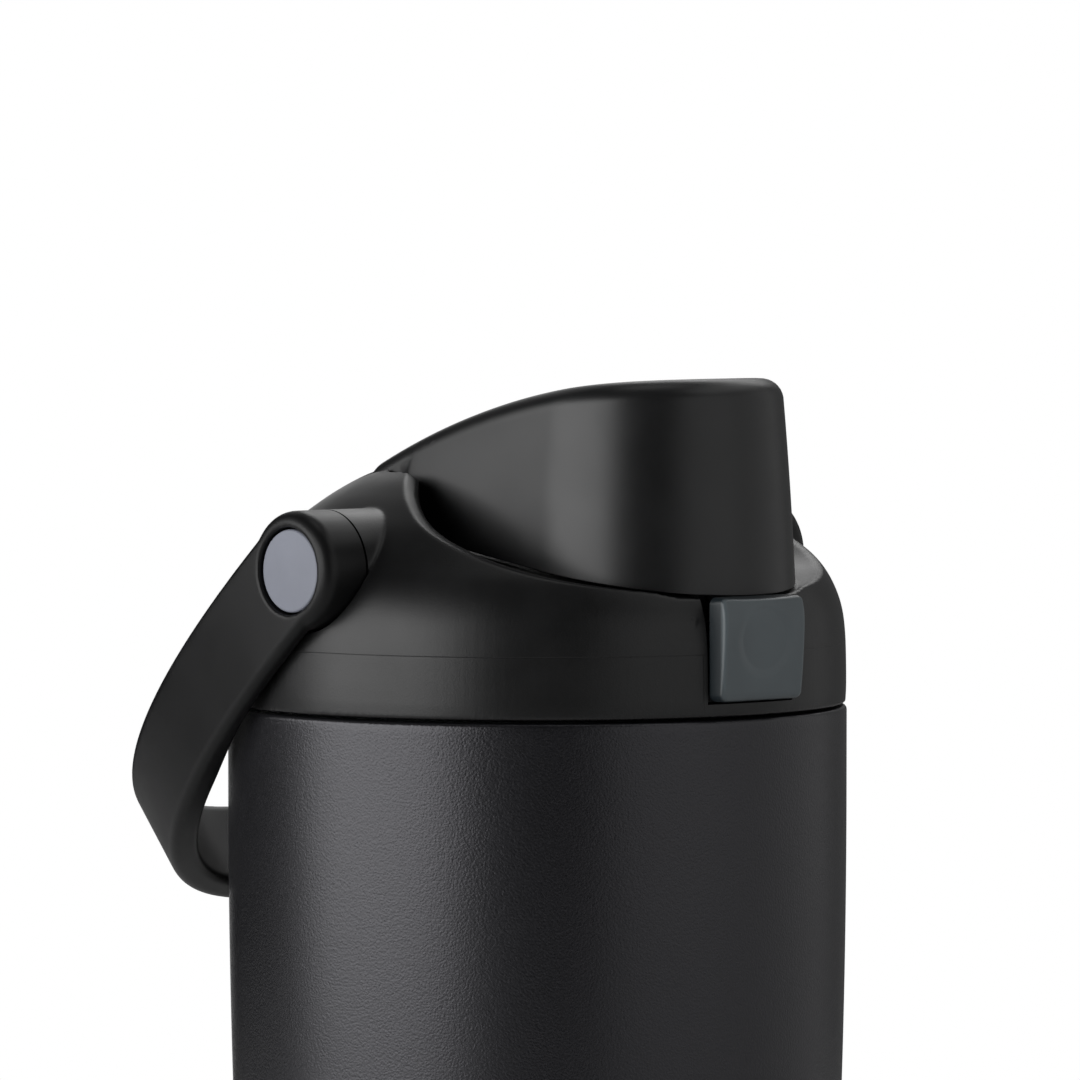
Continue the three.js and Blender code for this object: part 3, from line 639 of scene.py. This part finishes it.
# A plastic's colour, roughness, grain across and deep in mm, patch and specular level.
LOOKS = {
    "powder_coat": powder_coat(),
    "collar_plastic": collar_plastic(),
    "cap_plastic": plastic("cap_plastic", (0.0075, 0.0077, 0.0081), 0.38, 0.22, 0.003, 0.06),
    "handle_plastic": plastic(
        "handle_plastic", (0.0055, 0.0055, 0.0058), 0.38, 0.25, 0.004, 0.08, specular=0.27,
    ),
    "disc_plastic": plastic("disc_plastic", (0.215, 0.227, 0.272), 0.55, 0.16, 0.010, 0.05),
    "button_plastic": button_plastic(),
    "inner_plastic": plastic("inner_plastic", (0.030, 0.032, 0.036), 0.45, 0.25, 0.006),
    "straw_plastic": plastic("straw_plastic", (0.40, 0.42, 0.44), 0.30, 0.4, 0.003, 0.05),
    "steel": steel("steel"),
    "silicone": silicone(),
}


def piece(item, body, slot, replaces=(), crease=None):
    """Gives a finished piece its material, its body and the CAD nodes it stands for."""
    item.data.materials.clear()
    item.data.materials.append(LOOKS[slot])
    shade(item, crease)
    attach(item, body)
    if replaces:
        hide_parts(*replaces)
    return item


# ---------- bottle body ----------

def outer_shell():
    dimple = 2  # the middle of the foot stands this far up, round the evacuation port
    shoulder_r, mouth_edge = 0.7, 0.3
    foot = BODY_FOOT - SEAM
    top = -SEAM_GAP
    corner_z = foot + CORNER_R
    outer = body_radius(corner_z)
    outside = []
    for turn in range(0, 91, 9):
        a = math.radians(turn)
        r = outer - CORNER_R + CORNER_R * math.sin(a)
        outside.append((r, corner_z - CORNER_R * math.cos(a)))
    outside += [(body_radius(z), z) for z in np.linspace(corner_z, -2, 60)[1:]]
    for turn in range(90, -1, -15):
        a = math.radians(turn)
        r = BODY_R - shoulder_r + shoulder_r * math.sin(a)
        outside.append((r, top - shoulder_r + shoulder_r * math.cos(a)))
    inside = [(body_radius(z) - WALL, z) for z in np.linspace(top - WALL, corner_z, 12)]
    profile = [
        (3, foot + dimple), (9, foot + dimple), (9.8, foot + 1.7), (10.6, foot + 0.4), (11.4, foot),
        *outside,
        (LIP_R + mouth_edge, top), (LIP_R, top - mouth_edge), (LIP_R, top - WALL),
        *inside,
        (outer - CORNER_R, foot + WALL), (11.6, foot + WALL),
        (9.4, foot + dimple + WALL), (3, foot + dimple + WALL),
    ]
    piece(ring("body_shell", profile), "bottle", "powder_coat", ["outer_shell"], 40)


def base_plate():
    low, high = low_mm("base_plate"), high_mm("base_plate")
    r, edge = high.x, 1.2
    z0, z1 = low.z - SEAM, high.z - SEAM
    arc = [math.radians(a) for a in range(0, 91, 15)]
    corner = [(r - edge + edge * math.sin(a), z0 + edge - edge * math.cos(a)) for a in arc]
    profile = [(0, z0), (r - 2, z0), *corner, (r, z1), (0, z1)]
    piece(lathe("base_disc", profile), "bottle", "powder_coat", ["base_plate"], 40)


# ---------- lid ----------

def cap_pocket(name):
    """Room for the closed cap, from just below its rim up."""
    plan = cap_plan(-CAP_GAP)
    return loft(name, [
        [(x, y, rim_height(y) - 0.5) for x, y in plan],
        [(x, y, FAR) for x, y in plan],
    ])


def saddle_tool():
    """Everything above the saddle: a light rim band, then a dished slope down to the cap."""
    band_front, band_grows = 1.2, 2.1  # the rim band widens towards the shoulders
    band_from, band_over = -40, 44
    dish = 1.8
    xs = np.linspace(-50, 50, 201)
    ys = np.linspace(-53, 4.9, 117)
    reach = CAP_R + CAP_GAP
    wide, deep = len(xs), len(ys)
    verts, faces = [], []
    for y in ys:
        high = float(saddle_height(y))
        low = rim_height(y) - 0.3
        share = min(max((y - band_from) / band_over, 0), 1)
        outer = saddle_edge(y) - (band_front + band_grows * share ** 2)
        pocket = math.sqrt(max(reach ** 2 - min(y - CAP_FRONT_Y, 0) ** 2, 0))
        for x in xs:
            s = (abs(x) - pocket) / max(outer - pocket, 0.5)
            s = min(max(s, 0.0), 1.0)
            verts.append((x, y, low + (high - low) * s ** dish if high > low else high))
    for j in range(deep - 1):
        for i in range(wide - 1):
            a = j * wide + i
            faces.append([a, a + 1, a + 1 + wide, a + wide])
    border = (
        list(range(wide))
        + [j * wide + wide - 1 for j in range(1, deep)]
        + [(deep - 1) * wide + i for i in range(wide - 2, -1, -1)]
        + [j * wide for j in range(deep - 2, 0, -1)]
    )
    top = len(verts)
    verts += [(verts[k][0], verts[k][1], FAR) for k in border]
    count = len(border)
    for i in range(count):
        k = (i + 1) % count
        faces.append([border[i], border[k], top + k, top + i])
    faces.append([top + i for i in range(count)])
    return new_object("saddle_tool", verts, faces)


def hinge_tools():
    """Room behind the hinge for the barrel and for the cap's top when it is open."""
    tilt = HINGE_TILT + OPEN_DEG
    normal = math.radians(90 - tilt)
    away = math.radians(180 - tilt)

    def at(along, off):
        return (
            HINGE.y + off * math.cos(normal) + along * math.cos(away),
            HINGE.z + off * math.sin(normal) + along * math.sin(away),
        )

    half = BARREL_HALF + TURN_ROOM
    wedge = [at(-2, OPEN_ROOM), at(16, OPEN_ROOM), at(16, -10), at(-2, -1)]
    return [
        rod_x("barrel_room", BARREL_R + TURN_ROOM, -half, half, HINGE),
        along_x("open_room", wedge, -half, half),
    ]


def knuckle(side):
    """One of the lid's two hinge knuckles, on a web that stands on the dome."""
    x0, x1 = spans(side, *KNUCKLE)
    body = rod_x("knuckle", BARREL_R, x0, x1, HINGE, 0.3)
    web = along_x("web", [
        (HINGE.y - 1.6, HINGE.z), (HINGE.y - 1.6, 24), (18, 24), (18, 31), (HINGE.y + 2.4, HINGE.z),
    ], x0, x1)
    bore = rod_x("bore", PIN_R + PIN_ROOM, x0 - 1, x1 + 1, HINGE)
    return cut(join(body, web), bore)


def lid_shell():
    shell = lathe("collar_dome", [(0, SEAM_GAP), (47.4, SEAM_GAP), (47.8, 0.35), *DOME[3:]])
    hollow = lathe("hollow", [(0, -1), (45.1, -1), (45.1, 9), (43, 14), (0, 14)], 96)
    shell = cut(shell, hollow)
    block = box("button_block", -11, 11, -46.2, -41.6, 0.4, 15)
    stubs = [
        rod_x("stub", BOSS_R, *spans(side, 34, STUB_END + 1.5), PIVOT) for side in (-1, 1)
    ]
    shell = join(shell, block, *stubs)
    rooms = [
        rod_x("boss_room", BOSS_R + TURN_ROOM, *spans(side, STUB_END, FAR), PIVOT)
        for side in (-1, 1)
    ]
    shell = cut(shell, saddle_tool(), cap_pocket("pocket"))
    moulded(shell)
    button_room = [(-FAR, 2.2), (-42.9, 2.2), (-42.9, 30), (-FAR, 30)]
    shell = cut(
        shell,
        *hinge_tools(),
        *rooms,
        along_x("button_room", button_room, -8.9, 8.9),
        box("hook_room", -5.4, 5.4, -48, -39.4, 12, 30),
        along_z("spout_hole", ellipse(SPOUT_Y, 10.9, 8.4), 10, 40),
    )
    shell = join(shell, knuckle(-1), knuckle(1))
    piece(shell, "lid", "collar_plastic", ["lid_shell"], 42)


def spout():
    """A soft oval tube: a flanged foot, straight walls and a rounded drinking lip."""
    flange, wall = 3, 3.5
    low, high = low_mm("spout"), high_mm("spout")
    half_x, half_y = high.x - flange, (high.y - low.y) / 2 - 2
    foot, top = low.z - SEAM, high.z - SEAM
    section = [
        (-2.6, foot), (-flange, foot + 0.4), (-flange, foot + 1.4), (-2.6, foot + 1.8),
        (-0.6, foot + 2.0), (0, foot + 2.6), (0, 32), (0.15, 35), (0.5, 38), (1.2, 40.2),
        (1.9, top - 0.35), (2.5, top), (3.1, top - 0.25), (wall, top - 1.0),
        (wall, 30), (wall, foot + 0.4), (wall - 0.4, foot),
    ]
    rings = [
        [(x, y, z) for x, y in ellipse(SPOUT_Y, half_x - inset, half_y - inset, 128)]
        for inset, z in section
    ]
    item = loft("drinking_spout", rings, closed=True)
    piece(item, "lid", "silicone", ["spout"], 50)


# ---------- cap ----------

def cap_nose():
    """The two ears over the barrels, running on from the cap's top."""
    start_y, over_deg = 4, 66
    top = [(y, cap_top(y) - 0.02) for y in np.linspace(start_y, 11.5, 12)]
    over = []
    for deg in range(60, -1, -5):
        turn = math.radians(deg)
        r = BARREL_R + (NOSE_R - BARREL_R) * deg / over_deg
        over.append((HINGE.y + r * math.cos(turn), HINGE.z + r * math.sin(turn)))
    under = [(HINGE.y, HINGE.z - 1), (9, HINGE.z - 0.6), (start_y, cap_top(start_y) - CAP_WALL)]
    ears = along_x("cap_nose", top + over + under, -BARREL_HALF, BARREL_HALF)
    cheek = [(2, 31.5), (10, 31.5), (HINGE.y - 0.4, HINGE.z - 0.5), (11, 38.5), (7, 40), (2, 41)]
    cheeks = [
        along_x("cap_cheek", cheek, *spans(side, 18.6, BARREL_HALF - 0.15)) for side in (-1, 1)
    ]
    barrels = [
        rod_x("cap_barrel", BARREL_R, *spans(side, BARREL_IN, BARREL_HALF), HINGE, 0.5)
        for side in (-1, 1)
    ]
    ears = join(ears, *cheeks, *barrels)
    longer_cap = loft("cap_longer", cap_skin(0, rim_height, rear_y=26))
    boolean(ears, "INTERSECT", [longer_cap])
    return cut(ears, box("nose_gap", -BARREL_IN, BARREL_IN, 0, 20, 0, FAR))


def cap_shell():
    cap = loft("flip_cap", cap_skin(0, rim_height, 0.2))
    inside = loft("cap_inside", cap_skin(CAP_WALL, lambda y: rim_height(y) - 2))
    cap = cut(cap, inside)
    cap = cut(cap, box("rear_gap", -BARREL_IN, BARREL_IN, 7, 20, 10, HINGE.z + 4))
    cap = join(cap, cap_nose())
    cap = cut(
        cap,
        rod_x("slot", BARREL_R + TURN_ROOM, -BARREL_IN, BARREL_IN, HINGE),
        rod_x("pin_bore", PIN_R + PIN_ROOM, -19.4, 19.4, HINGE),
    )
    cap = join(cap, box("ledge", -5, 5, -46.2, -44.2, 20, 21.2))
    piece(cap, "cap", "cap_plastic", ["cap_shell"], 35)


# ---------- button ----------

def pad_outline(half, low, high, corner, along=26, round_steps=8):
    """A rectangle with round corners, as the same number of (x, z) points at any size."""
    arcs = []
    for k, (u, v) in enumerate(((1, low), (1, high), (-1, high), (-1, low))):
        x = u * (half - corner)
        z = v + corner if v == low else v - corner
        start = math.radians(90 * k - 90)
        arcs.append([
            (x + corner * math.cos(start + t), z + corner * math.sin(start + t))
            for t in np.linspace(0, math.pi / 2, round_steps + 1)
        ])
    points = []
    for here, after in zip(arcs, arcs[1:] + arcs[:1]):
        points += here
        end, start = Vector(here[-1]), Vector(after[0])
        points += [tuple(end.lerp(start, k / along)) for k in range(1, along)]
    return points


def push_button():
    """A thumb pad: crest near its top, soft edges, and a shallow dish in the middle."""
    corner, edge, top_edge = 1.2, 0.75, 0.5
    dish_r, dish_deep, dish_up = 6.1, 0.3, 9.3
    sag_deep, sag_tall = 0.27, 3  # the pad's top follows the cap's round rim
    seat_r = 3.3
    half = high_mm("push_button").x
    back = high_mm("push_button").y
    front = low_mm("push_button").y + 0.02
    foot, top = low_mm("push_button").z - SEAM, RIM_Z
    middle = (foot + top) / 2
    dish_z = foot + dish_up
    face = smooth_line([
        (foot - 1, front + 0.95), (foot + 2, front + 0.62), (foot + 6, front + 0.25),
        (foot + 9.5, front + 0.06), (foot + 11.8, front), (foot + 13.6, front + 0.14),
        (top + 0.6, front + 0.9),
    ], 10)
    level, depth = [p[0] for p in face], [p[1] for p in face]

    def skin(x, z, inset):
        z = float(np.interp(z, (foot, top - edge, top), (foot, top - top_edge, top)))
        y = float(np.interp(z, level, depth))
        y += edge * (1 - math.sqrt(max(0.0, 1 - (1 - min(inset / edge, 1)) ** 2)))
        near = 1 - math.hypot(x, z - dish_z) / dish_r
        if near > 0:
            y += dish_deep * min(1.0, near * 4) ** 1.5
        rise = max(0.0, (z - top + sag_tall) / sag_tall)
        sag = sag_deep * (1 - (x / half) ** 2) * rise ** 2
        return (x, y, z - sag)

    outer = pad_outline(half, foot, top, corner)
    rings = [[(x, y, z) for x, z in outer] for y in (back, back - 0.5)]
    for inset in (0, 0.03, 0.08, 0.16, 0.26, 0.38, 0.55, edge):
        left = max(corner - inset, 0.1)
        outline = pad_outline(half - inset, foot + inset, top - inset, left)
        rings.append([skin(x, z, inset) for x, z in outline])
    for share in np.linspace(0.97, 0.02, 36):
        rings.append([skin(x * share, middle + (z - middle) * share, edge) for x, z in outline])
    item = loft("thumb_button", rings)
    seat = [[(x, y, z) for x, z in circle(0, SPRING_Z, seat_r)] for y in (SEAT_Y, -45)]
    cut(item, loft("spring_seat", seat))
    piece(item, "button", "button_plastic", ["push_button"], 60)


def press_spring():
    """The coil behind the button, built at the length of the CAD part; a press of the button would
    shorten it.
    """
    wire, turns, turn_steps, wire_sides = 0.32, 3.5, 28, 10
    low, high = low_mm("button_spring"), high_mm("button_spring")
    radius = high.x - wire
    start, end = low.y + wire, high.y - wire
    steps = int(turns * turn_steps)
    rings = []
    for k in range(steps + 1):
        turn = 2 * math.pi * turns * k / steps
        y = start + (end - start) * k / steps
        rings.append([
            (
                (radius + wire * math.cos(a)) * math.cos(turn),
                y + wire * math.sin(a),
                SPRING_Z + (radius + wire * math.cos(a)) * math.sin(turn),
            )
            for a in np.linspace(0, 2 * math.pi, wire_sides, endpoint=False)
        ])
    item = piece(loft("press_spring", rings), "lid", "steel", ["button_spring"], 60)
    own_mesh(item)


# ---------- handle ----------

HANDLE_DOWN = math.radians(40.4)  # how far the hanging handle points down
HANDLE_REACH = 79.66  # from the pivots to the outside of the bar
HANDLE_BOW = 2.735
WIDTH_POWER, REACH_POWER = 3.14, 2.215  # how square the loop's outline is each way
STRAP_WIDE, BAR_WIDE = 16.6, 16.2
STRAP_THICK, BAR_EXTRA = 3.3, 1.5  # the strap is thin beside the collar, so that it clears it
THIN_TO, FULL_OVER = 0.26, 0.28  # where it thickens, as the sine of the turn round the loop


def strap_point(t):
    """A point of the loop's outer face, from one boss round to the other, seen square on."""
    c, s = math.cos(t), math.sin(t)
    x = BOSS_OUT * math.copysign(abs(c) ** (2 / WIDTH_POWER), c)
    reach = HANDLE_REACH * math.copysign(abs(s) ** (2 / REACH_POWER), s)
    return Vector((x, reach + HANDLE_BOW * ((x / BOSS_OUT) ** 2 - 1)))


def strap():
    along = Vector((0, math.cos(HANDLE_DOWN), -math.sin(HANDLE_DOWN)))
    across = Vector((0, math.sin(HANDLE_DOWN), math.cos(HANDLE_DOWN)))
    outer_edge, inner_edge = 1.5, 1.3
    steps = 160
    rings = []
    for k in range(steps + 1):
        t = math.pi * (k + 0.001) / (steps + 0.002)
        here = strap_point(t)
        tangent = (strap_point(t + 1e-4) - strap_point(t - 1e-4)).normalized()
        inward = Vector((-tangent.y, tangent.x))
        bar = math.sin(t) ** 2
        grown = min(max((math.sin(t) - THIN_TO) / FULL_OVER, 0.0), 1.0)
        thick = STRAP_THICK + BAR_EXTRA * grown ** 2 * (3 - 2 * grown)
        half = (STRAP_WIDE + (BAR_WIDE - STRAP_WIDE) * bar) / 2
        section = rounded([
            (0, -half, outer_edge), (0, half, outer_edge),
            (thick, half, inner_edge), (thick, -half, inner_edge),
        ], 5)
        row = []
        for depth, w in section:
            p = here + inward * depth
            q = PIVOT + along * p.y + across * w
            row.append((p.x, q.y, q.z))
        rings.append(row)
    return loft("carry_handle", rings)


def handle():
    boss_edge = 2.3
    cover_r, cover_floor = 6.65, 46.9
    bush_r = 4.0
    item = strap()
    bosses, rooms, ends = [], [], []
    for side in (-1, 1):
        outer_end = spans(side, BOSS_IN - 3, BOSS_OUT)
        inner_end = spans(side, BOSS_IN - 6, BOSS_IN + 0.1)
        bosses.append(rod_x("boss", BOSS_R, *outer_end, PIVOT, boss_edge))
        rooms.append(rod_x("cover_room", cover_r, *spans(side, cover_floor, FAR), PIVOT))
        rooms.append(rod_x("bush_room", bush_r, *spans(side, 40, 50), PIVOT))
        ends.append(rod_x("boss_end", BOSS_R + 2, *inner_end, PIVOT))
    item = cut(join(item, *bosses), *rooms)
    moulded(item)
    cut(item, *ends)
    piece(item, "handle", "handle_plastic", ["handle"], 60)


def pivot_covers():
    sunk, edge = 0.3, 0.4
    for side, word in ((-1, "left"), (1, "right")):
        node = f"pivot_cover_{word}"
        near, far = sorted((abs(low_mm(node).x), abs(high_mm(node).x)))
        radius = high_mm(node).z - SEAM - PIVOT.z
        item = rod_x(f"pivot_disc_{word}", radius, *spans(side, near, far - sunk), PIVOT, edge)
        piece(item, "handle", "disc_plastic", [node], 30)


# ---------- the CAD nodes that stay ----------

KEPT = {
    "inner_liner": "steel",
    "vacuum_seal": "steel",
    "getter": "steel",
    "lid_gasket": "silicone",
    "lid_plug": "inner_plastic",
    "vent_valve": "silicone",
    "spout_seal": "silicone",
    "straw": "straw_plastic",
    "hinge_pin": "steel",
    "hinge_spring": "steel",
    "cap_liner": "inner_plastic",
    "cap_seal": "silicone",
    "latch_slider": "inner_plastic",
    "pivot_screw_left": "steel",
    "pivot_screw_right": "steel",
    "pivot_bush_left": "inner_plastic",
    "pivot_bush_right": "inner_plastic",
}


def finish_kept():
    for node, look in KEPT.items():
        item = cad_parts[node]
        item.data.materials.clear()
        item.data.materials.append(LOOKS[look])


# ---------- studio, in metres ----------

SEAM_UP = SEAM * MM
CAMERA_AZ = math.radians(43)
CAMERA_AWAY = 1.2
CAMERA_ABOVE_SEAM = 0.0765
CAMERA_DOWN_DEG = 2.446


def around(azimuth_deg, distance, height):
    """A point round the bottle; azimuth 0 is the camera's own side, positive to its right."""
    a = CAMERA_AZ - math.radians(azimuth_deg)
    return Vector((-math.sin(a) * distance, -math.cos(a) * distance, height))


def camera():
    data = bpy.data.cameras.new("camera")
    item = bpy.data.objects.new("camera", data)
    bpy.context.scene.collection.objects.link(item)
    bpy.context.scene.camera = item
    item.location = around(0, CAMERA_AWAY, SEAM_UP + CAMERA_ABOVE_SEAM)
    item.rotation_euler = (math.radians(90 - CAMERA_DOWN_DEG), 0, -CAMERA_AZ)
    data.sensor_width = 36
    data.lens = 258.07
    data.shift_x = 0.0024
    data.clip_start = 0.05
    data.clip_end = 20


def area_light(name, azimuth, distance, height, size, power, aim=SEAM_UP):
    """A rectangular light, aimed at the bottle's axis at the height aim."""
    data = bpy.data.lights.new(name, "AREA")
    data.shape = "RECTANGLE"
    data.size, data.size_y = size
    data.energy = power
    item = bpy.data.objects.new(name, data)
    bpy.context.scene.collection.objects.link(item)
    item.location = around(azimuth, distance, height)
    toward = Vector((0, 0, aim)) - item.location
    item.rotation_euler = toward.to_track_quat("-Z", "Y").to_euler()
    item.visible_camera = False
    return item


def backdrop():
    """White where the camera looks past the bottle, and nearly dark for everything else."""
    world = bpy.data.worlds.new("studio")
    bpy.context.scene.world = world
    world.use_nodes = True
    tree = world.node_tree
    tree.nodes.clear()
    out = tree.nodes.new("ShaderNodeOutputWorld")
    white = tree.nodes.new("ShaderNodeBackground")
    white.inputs["Color"].default_value = (1, 1, 1, 1)
    dim = tree.nodes.new("ShaderNodeBackground")
    dim.inputs["Color"].default_value = (0.006, 0.006, 0.006, 1)
    path = tree.nodes.new("ShaderNodeLightPath")
    mix = tree.nodes.new("ShaderNodeMixShader")
    tree.links.new(path.outputs["Is Camera Ray"], mix.inputs[0])
    tree.links.new(dim.outputs[0], mix.inputs[1])
    tree.links.new(white.outputs[0], mix.inputs[2])
    tree.links.new(mix.outputs[0], out.inputs[0])


def studio():
    bpy.context.scene.view_settings.view_transform = "Standard"
    backdrop()
    level = 0.45
    area_light("key", -60, 1.2, level, (1.4, 0.9), 14, level)
    area_light("key_side", -98, 1.1, 0.62, (0.35, 0.6), 1.5, 0.62)
    area_light("fill_near", 50, 1.2, level, (1.1, 0.9), 2.1, level)
    area_light("fill_far", 105, 1.2, level, (1.4, 0.9), 1.8, level)
    area_light("back", 165, 1.2, level, (1.1, 0.9), 0.35, level)
    area_light("rim_left", -172, 1.2, level, (0.4, 0.9), 0.8, level)
    area_light("over_right", 90, 0.74, 1.15, (1.4, 0.6), 2.3)
    area_light("over_back", 162, 0.95, 0.98, (0.8, 0.5), 2.6)
    area_light("over_left", -170, 0.85, 1.05, (1.0, 0.6), 0.6)
    area_light("overhead", 0, 0.01, 1.4, (0.6, 0.6), 1.0)


def floor():
    bpy.ops.mesh.primitive_circle_add(
        vertices=128, radius=1.0, fill_type="NGON", location=(0, 0, -0.0005),
    )
    item = bpy.context.object
    item.name = "floor"
    material, tree, shader = nodes_of("floor")
    shader.inputs["Roughness"].default_value = 0.8
    shader.inputs["Base Color"].default_value = (0.72, 0.72, 0.72, 1)
    item.data.materials.append(material)


outer_shell()
base_plate()
lid_shell()
spout()
cap_shell()
push_button()
press_spring()
handle()
pivot_covers()
finish_kept()
camera()
studio()
floor()
